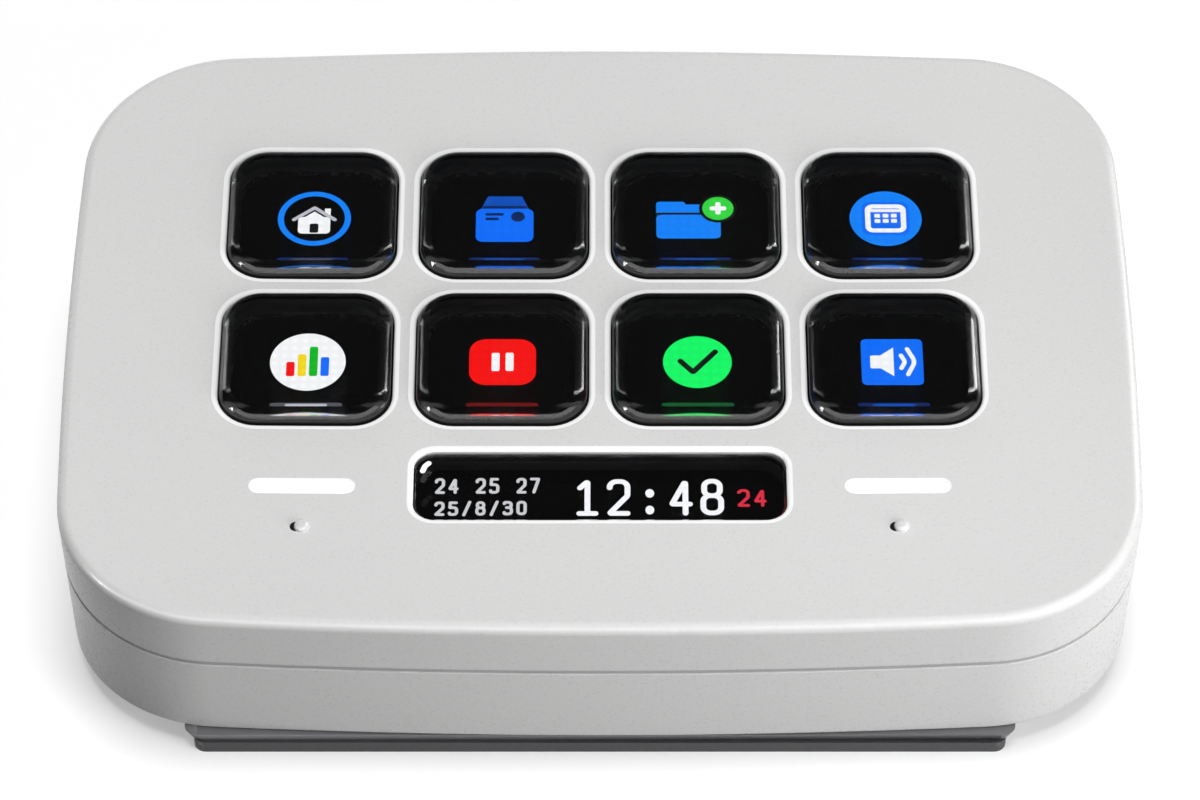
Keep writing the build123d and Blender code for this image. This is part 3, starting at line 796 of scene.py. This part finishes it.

# --- merged copies of nodes whose rounds show, each with a material; a slot is listed beside it ---

skins = {
    "bottom_shell": ("white_abs", "white_shell"),
    "plinth": ("grey_abs", "grey_plinth"),
    "foot_pad": ("foot_rubber", "foot_rubber"),
    "light_bar_left": ("light_guide", "light_guide"),
    "light_bar_right": ("light_guide", "light_guide"),
    "usb_socket": ("plated_steel", "socket_shell"),
    "usb_tongue": ("black_pc", "black_plastic"),
    "case_screws": ("black_steel", "screw_steel"),
}
for nodeName, (material, slot) in skins.items():
    smoothNode(nodeName, material, slot)

# --- the key mat: its sheet stays, and a ring goes under each key's flange ---

mat = {
    "half": 9.25, "hole": 8.6, "radius": 5.45, "top": 3.155, "bottom": 4.2, "keep": 0.13,
    "counts": (16, 16),
}
faceNormal = np.array([0, -sinTilt, cosTilt])
# the sheet is the node with all that stands on it pressed level
matMesh = copyOf("key_mat")
points = np.empty(len(matMesh.vertices) * 3, np.float32)
matMesh.vertices.foreach_get("co", points)
points = points.reshape(-1, 3)
above = (points - place(0, 0, -mat["bottom"])) @ faceNormal
points = points - np.maximum(above, 0)[:, None] * faceNormal
matMesh.vertices.foreach_set("co", points.astype(np.float32).ravel())
finishMesh(
    "key_mat_sheet", matMesh, ["silicone"], "key_silicone", ["key_mat"], "case", *copied
)
for number, spot in enumerate(keySpots, start=1):
    outside, inside = (
        roundLoop(half, half, mat["radius"] + half - mat["half"], *mat["counts"], at=spot)
        for half in (mat["half"], mat["hole"])
    )
    rows = np.stack([outside, outside, inside, inside, outside])
    depths = [mat["bottom"], mat["top"], mat["top"], mat["bottom"], mat["bottom"]]
    ring = makePiece(
        f"key_mat_ring_{number}", [{"grid": atDepth(rows, depths)}], ["silicone"],
        "key_silicone", ["key_mat"],
    )
    tuple(place(*spot, -mat["bottom"]))
    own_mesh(ring)

# --- nodes that stay as they are, with a material each ---

kept = {
    "pet_film": ["switch_film"],
    "cover_glass": ["display_panel"],
    "plated_steel": ["display_backlight"],
    "black_pc": ["display_tray"],
    "polyimide": ["display_flex", "touch_flexes"],
    "gasket_foam": ["info_gasket"],
    "laminate": ["touch_board_left", "touch_board_right", "main_board"],
    "lamp_resin": ["status_lamps"],
    "epoxy": ["controller_chip", "board_parts"],
    "connector_lcp": ["flex_connectors"],
    "zinc_steel": ["ballast_plate"],
    "black_steel": ["tray_screws", "board_screws"],
}
for material, nodeNames in kept.items():
    for nodeName in nodeNames:
        mesh = frame["nodes"][nodeName].data
        if not mesh.materials:
            mesh.materials.append(made[material])
        for materialSlot in frame["nodes"][nodeName].material_slots:
            materialSlot.material = made[material]
print("nodes finished")

# --- the display's pictures: thin plates of light on the cover glass ---

picture = {
    "thickness": 0.012,
    "step": 0.014,  # each layer lies this much over the one under it
    "shiftV": 1.45,  # drawn further back than the keys, for eyes in front of the keypad
    "stroke": 0.57,  # thickness of the clock's strokes
    "hourStroke": 0.34, "smallStroke": 0.32,
    "ovalCount": 72, "blockCounts": (16, 16), "leastRadius": 0.05, "arcSteps": 8, "sharp": 30,
    "endSteps": 6, "endAngle": 75,  # a stroke's half circle, up to that angle from its tip
}


def ribbon(first, second, layer, loop, depth):
    # a closed thin plate between two lines of points, both along their whole length: over its
    # top from the first to the second, down, back under it and up
    base = layer * picture["step"] - depth
    heights = base + picture["thickness"] * np.array([1, 1, 0, 0, 1])[:, None]
    rows = np.stack([first, second, second, first, first])
    if np.ptp(first, axis=0).max() < 1e-9:
        rows, heights = rows[:4], heights[:4]
    return {"grid": laid(rows, heights), "closed": loop}


def sheet(ink, loop, hole=None):
    # a plate with that outline, from its middle or from a hole's edge
    loop = np.asarray(loop, float)
    inner = np.broadcast_to(loop.mean(0), loop.shape) if hole is None else hole
    return ink, loop, np.asarray(inner, float), True


def oval(ink, width, height, at=(0, 0), hole=0.0):
    # an ellipse; a hole leaves a ring of that thickness
    angle = np.arange(picture["ovalCount"]) / picture["ovalCount"] * 2 * math.pi
    unit = np.stack([np.cos(angle), np.sin(angle)], -1) / 2
    inner = at + unit * (width - 2 * hole, height - 2 * hole) if hole else None
    return sheet(ink, at + unit * (width, height), inner)


def block(ink, width, height, radius, at=(0, 0), hole=0.0):
    # a rounded rectangle, or a frame of that thickness
    a, b, counts = width / 2, height / 2, picture["blockCounts"]
    inner = None
    if hole:
        least = max(radius - hole, picture["leastRadius"])
        inner = roundLoop(a - hole, b - hole, least, *counts, at)
    return sheet(ink, roundLoop(a, b, radius, *counts, at), inner)


def stroke(ink, corners, radius, thick):
    # a bar of even width along a path whose corners are rounded; its ends are half circles,
    # where the half width is the root of what is left of the circle
    radii = np.broadcast_to(radius, len(corners) - 2)
    path = roundProfile(corners, radii, picture["arcSteps"])
    path = path[np.append(True, np.hypot(*np.diff(path, axis=0).T) > 1e-9)]
    ahead = np.gradient(path, axis=0)
    ahead /= np.hypot(*ahead.T)[:, None]
    ends = picture["endSteps"]
    angle = np.radians(np.linspace(0, picture["endAngle"], ends))[:, None]
    start = path[0] - ahead[0] * np.cos(angle) * thick / 2
    end = path[-1] + ahead[-1] * np.cos(angle[::-1]) * thick / 2
    half = np.concatenate([np.sin(angle), np.ones((len(path), 1)), np.sin(angle[::-1])])
    side = np.stack([-ahead[:, 1], ahead[:, 0]], -1)
    side = np.concatenate([[side[0]] * ends, side, [side[-1]] * ends]) * half * thick / 2
    middle = np.concatenate([start, path, end])
    return ink, middle - side, middle + side, False


def draw(name, spot, shapes, depth=case["displayDepth"]):
    # shapes come lowest first, and each ink is a material of the piece
    inks = sorted({shape[0] for shape in shapes})
    patches = [
        {**ribbon(inner + np.array(spot), outer + np.array(spot), layer, loop, depth),
         "material": inks.index(ink)}
        for layer, (ink, outer, inner, loop) in enumerate(shapes)
    ]
    materials = [f"{ink}_ink" for ink in inks]
    makePiece(name, patches, materials, "display_glass", sharp=picture["sharp"])


icons = {
    "house": [
        oval("sky", 7.5, 7.5, hole=0.62),
        block("white", 3.3, 2.3, 0.45, (0, -0.95)),
        sheet("white", [(-1.6, -0.3), (1.6, -0.3), (0, 0.95)]),
        sheet("white", [(1.05, 0.4), (1.65, 0.0), (1.65, 1.35), (1.05, 1.35)]),
        stroke("silver", [(-2.1, -0.2), (0, 1.45), (2.1, -0.2)], 0.05, 0.4),
        block("black", 0.9, 1.25, 0.2, (0, -1.4)),
    ],
    "wallet": [
        sheet("navy", [(-2.5, 1.2), (2.5, 1.2), (1.75, 3.1), (-1.75, 3.1)]),
        block("dusk", 4.6, 0.5, 0.2, (0, 1.5)),
        block("azure", 5.9, 4.6, 0.7, (0, -0.95)),
        block("dusk", 1.9, 0.36, 0.15, (-1.05, 0.55)),
        block("dusk", 1.4, 0.36, 0.15, (-1.3, -0.1)),
        oval("dusk", 1.4, 1.4, (1.35, 0.2)),
    ],
    "folder": [
        block("sky", 3.0, 2.0, 0.35, (-2.5, 1.35)),
        block("sky", 5.0, 1.3, 0.3, (-1.5, 1.3)),
        block("black", 6.6, 0.35, 0.05, (-0.7, 0.62)),
        block("sky", 6.6, 3.3, 0.5, (-0.7, -1.15)),
        oval("black", 3.9, 3.9, (2.35, 1.35)),
        oval("lime", 3.2, 3.2, (2.35, 1.35)),
        block("white", 1.7, 0.55, 0.2, (2.35, 1.35)),
        block("white", 0.55, 1.7, 0.2, (2.35, 1.35)),
    ],
    "planner": [
        oval("sky", 7.4, 7.6),
        block("azure", 4.9, 4.6, 0.9),
        block("white", 4.2, 3.9, 0.8, hole=0.55),
        *[
            block("white", 0.6, 0.5, 0.1, (0.85 * column, 0.35 - 0.75 * row))
            for row in range(2)
            for column in (-1, 0, 1)
        ],
        block("white", 3.2, 0.4, 0.1, (0, 1.0)),
    ],
    "chart": [
        oval("white", 7.6, 7.6),
        *[
            block(ink, 0.85, tall, 0.2, (1.15 * (number - 1.5), tall / 2 - 1.9))
            for number, (ink, tall) in enumerate(
                [("red", 1.9), ("yellow", 2.9), ("leaf", 3.9), ("azure", 2.5)]
            )
        ],
    ],
    "pause": [
        block("red", 6.7, 6.1, 1.7),
        block("white", 0.8, 2.4, 0.15, (-0.7, 0)),
        block("white", 0.8, 2.4, 0.15, (0.7, 0)),
    ],
    "tick": [
        oval("green", 6.9, 6.9),
        stroke("black", [(-1.7, 0.1), (-0.45, -1.35), (1.8, 1.35)], 0.1, 0.6),
    ],
    "speaker": [
        block("azure", 6.2, 6.1, 0.5),
        block("white", 1.3, 1.7, 0.15, (-1.55, 0)),
        sheet("white", [(-1.3, -0.75), (0.15, -1.9), (0.15, 1.9), (-1.3, 0.75)]),
        stroke("white", [(0.9, -0.85), (1.3, 0), (0.9, 0.85)], 0.6, 0.45),
        stroke("white", [(1.55, -1.7), (2.3, 0), (1.55, 1.7)], 1.2, 0.45),
    ],
}
for (name, shapes), spot in zip(icons.items(), keySpots):
    draw(f"icon_{name}", (spot[0], spot[1] + picture["shiftV"]), shapes)

# painted glint: a dim plate of each icon's light drawn on the display, standing in for the
# light caught at the front edge of its cap
paintedGlints = {
    "v": -4.25, "outer": (7.2, 0.6, 0.2), "core": (4.2, 0.3, 0.12),
    "inks": ["dusk", "dusk", "dusk", "dusk", "dim", "maroon", "moss", "dusk"],
    "coreInks": ["dim", "navy", "navy", "navy", "silver", "maroon", "moss", "navy"],
}
for name, outerInk, coreInk, spot in zip(icons, paintedGlints["inks"], paintedGlints["coreInks"], keySpots):
    draw(f"glint_{name}", (spot[0], spot[1] + paintedGlints["v"]), [
        block(outerInk, *paintedGlints["outer"]), block(coreInk, *paintedGlints["core"])
    ])

# digits as pen strokes in a box of one by one: corners, and a corner's radius as a share of
# the box's width
digitPaths = {
    "0": [([(0.5, 1), (0, 1), (0, 0), (1, 0), (1, 1), (0.5, 1)], 0.45)],
    "1": [([(0.08, 0.8), (0.5, 1), (0.5, 0)], 0.04), ([(0.05, 0), (0.95, 0)], 0)],
    "2": [([(0, 0.8), (0, 1), (1, 1), (1, 0.55), (0, 0), (1, 0)], (0.42, 0.42, 0.3, 0.04))],
    "3": [
        ([(0, 0.88), (0, 1), (0.95, 1), (0.95, 0.54), (0.35, 0.54)], (0.2, 0.4, 0.4)),
        ([(0.35, 0.54), (1, 0.54), (1, 0), (0, 0), (0, 0.13)], (0.4, 0.42, 0.2)),
    ],
    "4": [([(0.75, 0), (0.75, 1), (0, 0.28), (1, 0.28)], 0.04)],
    "5": [
        ([(0.92, 1), (0.1, 1), (0.06, 0.58), (1, 0.58), (1, 0), (0, 0), (0, 0.13)],
         (0.04, 0.04, 0.42, 0.42, 0.2)),
    ],
    "7": [([(0, 1), (1, 1), (0.35, 0)], 0.04)],
    "8": [
        ([(0.5, 0.54), (0.06, 0.54), (0.06, 1), (0.94, 1), (0.94, 0.54), (0.5, 0.54)], 0.4),
        ([(0.5, 0.54), (0, 0.54), (0, 0), (1, 0), (1, 0.54), (0.5, 0.54)], 0.42),
    ],
    "/": [([(0.1, -0.05), (0.9, 1.05)], 0)],
    " ": [],
}


def writeNumber(name, text, ink, left, right, bottom, top, thick, gap=0.32):
    # a row of digits that fills a box, each with the same width; a colon is two dots
    wide = (right - left) / (len(text) + gap * (len(text) - 1))
    size = np.array([wide - thick, top - bottom - thick])
    shapes = []
    for number, mark in enumerate(text):
        corner = np.array([left + number * wide * (1 + gap), bottom]) + thick / 2
        if mark == ":":
            middle = corner[0] + size[0] / 2
            shapes += [
                oval(ink, 1.5 * thick, 1.9 * thick, (middle, corner[1] + share * size[1]))
                for share in (0.1, 0.62)
            ]
        for path, radius in digitPaths.get(mark, []):
            radii = np.broadcast_to(np.multiply(radius, size[0]), len(path) - 2)
            shapes.append(stroke(ink, corner + np.array(path) * size, radii, thick))
    draw(name, (0, 0), shapes)


small, large = picture["smallStroke"], picture["stroke"]
writeNumber("readout_clock", "12:48", "bright", -2.4, 12.2, -21.5, -16.85, large)
writeNumber("readout_days", "24 25 27", "ash", -16.3, -5.9, -18.7, -16.7, small)
writeNumber("readout_date", "25/8/30", "ash", -16.3, -7.2, -21.5, -19.7, small)
# painted glint: a white mark drawn on the window's top at its upper left corner, where light
# catches the lens
draw("window_painted_glint", (0, 0), [
    stroke("white", [(-17.42, -17.95), (-17.2, -17.3), (-16.85, -16.95)], 0.4, 0.55)
], window["top"])
writeNumber("readout_hours", "24", "rose", 13.5, 16.4, -20.35, -18.1, picture["hourStroke"])
print("display drawn")

# --- floor, light and camera ---

studio = {
    "floorHalf": 4,
    "floor": "#dadada",  # as the eye, mirrors and clear plastic see it
    "floorLift": 0.36,  # light that they see on top of it
    "floorUnseen": "#606060",  # greyer for the light that it throws up at the walls
    "sky": 0.01,  # light from all round, for what isn't seen or mirrored
    # watts, size and place, in metres
    "lamps": {
        "side_softbox": (0.68, (0.15, 0.15), (0.25, -0.21, 0.1)),
        "front_softbox": (0.053, (0.1, 0.1), (0.065, -0.175, 0.06)),
        "back_softbox": (0.8, (0.4, 0.25), (-0.15, 0.5, 0.14)),
    },
    "aim": (0, 0, 0.015),
    "overhead": {"strength": 2.45, "angle": 30},  # a wide soft light from far above
}


def shownRays(tree):
    # one for the rays of the eye, of mirrors and through clear plastic, nought for the others
    rays = add(tree, "LightPath")
    shown = rays.outputs["Is Camera Ray"]
    for kind in ("Is Glossy Ray", "Is Transmission Ray"):
        shown = add(
            tree, "Math", {"operation": "MAXIMUM"}, {0: shown, 1: rays.outputs[kind]}
        ).outputs["Value"]
    return shown


def stageMesh(name, points, cells, material):
    mesh = bpy.data.meshes.new(name)
    mesh.from_pydata(points, [], cells)
    mesh.materials.append(material)
    return show(name, mesh)


paper, tree = newMaterial("studio_paper")
shown = shownRays(tree)
lift = add(tree, "Math", {"operation": "MULTIPLY", 1: studio["floorLift"]}, {0: shown})
shade = add(
    tree, "Mix",
    {"data_type": "RGBA", 6: linear(studio["floorUnseen"]), 7: linear(studio["floor"])},
    {0: shown},
)
output(tree, add(
    tree, "BsdfPrincipled",
    {"Roughness": 0.8, "Emission Color": (1, 1, 1, 1), "Specular IOR Level": 0.2},
    {"Base Color": shade.outputs[2], "Emission Strength": lift.outputs["Value"]},
))
far = studio["floorHalf"]
floorCorners = [(-far, -far, 0), (far, -far, 0), (far, far, 0), (-far, far, 0)]
floor = stageMesh("floor", floorCorners, [(0, 1, 2, 3)], paper)

world = bpy.data.worlds.new("studio")
bpy.context.scene.world = world
world.use_nodes = True
tree = world.node_tree
tree.nodes.clear()
level = add(
    tree, "Mix", {"data_type": "FLOAT", 2: studio["sky"], 3: 1.0}, {0: shownRays(tree)}
)
sky = add(tree, "Background", {"Color": (1, 1, 1, 1)}, {"Strength": level.outputs[0]})
add(tree, "OutputWorld", links={"Surface": sky.outputs["Background"]})


def hang(name, lamp):
    # a lamp in the studio that neither the eye nor a mirror shows
    holder = show(name, lamp)
    holder.visible_camera = holder.visible_glossy = holder.visible_transmission = False
    return holder


def softbox(name, power, size, position):
    lamp = bpy.data.lights.new(name, "AREA")
    lamp.shape = "RECTANGLE"
    lamp.size, lamp.size_y = size
    lamp.energy = power
    holder = hang(name, lamp)
    away = np.subtract(position, studio["aim"])
    flat = math.hypot(away[0], away[1])
    holder.location = position
    holder.rotation_euler = (math.atan2(flat, away[2]), 0, math.atan2(away[0], -away[1]))


for name, spec in studio["lamps"].items():
    softbox(name, *spec)
overhead = bpy.data.lights.new("overhead", "SUN")
overhead.energy = studio["overhead"]["strength"]
overhead.angle = math.radians(studio["overhead"]["angle"])
hang("overhead", overhead)

# what the keys and the rim mirror: black cloth and lit strips, each a part of one ball
tent = {
    "radius": 0.9, "steps": 25,
    # azimuth from the back towards the right, from and to, elevation, from and to, and light
    "panels": {
        "back_cloth": (-49, 49, 6, 84, 0.04),
        "left_strip": (-53, -49, 6, 50, 4.0),
        "left_cloth": (-80, -53, 6, 84, 0.0),
        "left_spark": (-109, -101, 18, 32, 30.0),
        "right_strip": (49, 53, 6, 50, 14.0),
        "right_cloth": (53, 80, 6, 84, 0.0),
        "top_cloth": (100, 260, 52, 89, 0.0),
        "front_strip": (100, 250, 26, 52, 3.2),
    },
}
for name, (left, right, low, high, light) in tent["panels"].items():
    steps = tent["steps"]
    turn = np.radians(np.linspace(left, right, steps))[None]
    rise = np.radians(np.linspace(low, high, steps))[:, None]
    x, y = np.sin(turn) * np.cos(rise), np.cos(turn) * np.cos(rise)
    cloth = tent["radius"] * np.stack(np.broadcast_arrays(x, y, np.sin(rise)), axis=-1)
    index = np.arange(steps**2).reshape(steps, steps)
    fabric, tree = newMaterial(f"{name}_fabric")
    output(tree, add(tree, "Emission", {"Strength": light}), "Emission")
    panel = stageMesh(name, cloth.reshape(-1, 3), gridCells(index).reshape(-1, 4), fabric)
    panel.visible_camera = panel.visible_diffuse = panel.visible_shadow = False

lens = {
    "focal": 165.55, "sensor": 36.0, "clip": (0.01, 20.0), "position": (0.0, -0.39895, 0.4065),
    "down": 44.683,
}
camera = show("camera", bpy.data.cameras.new("camera"))
camera.data.lens = lens["focal"]
camera.data.sensor_width = lens["sensor"]
camera.data.clip_start, camera.data.clip_end = lens["clip"]
camera.location = lens["position"]
camera.rotation_euler = (math.radians(90 - lens["down"]), 0, 0)
bpy.context.scene.camera = camera
bpy.context.scene.view_settings.view_transform = "Standard"
print("studio set")
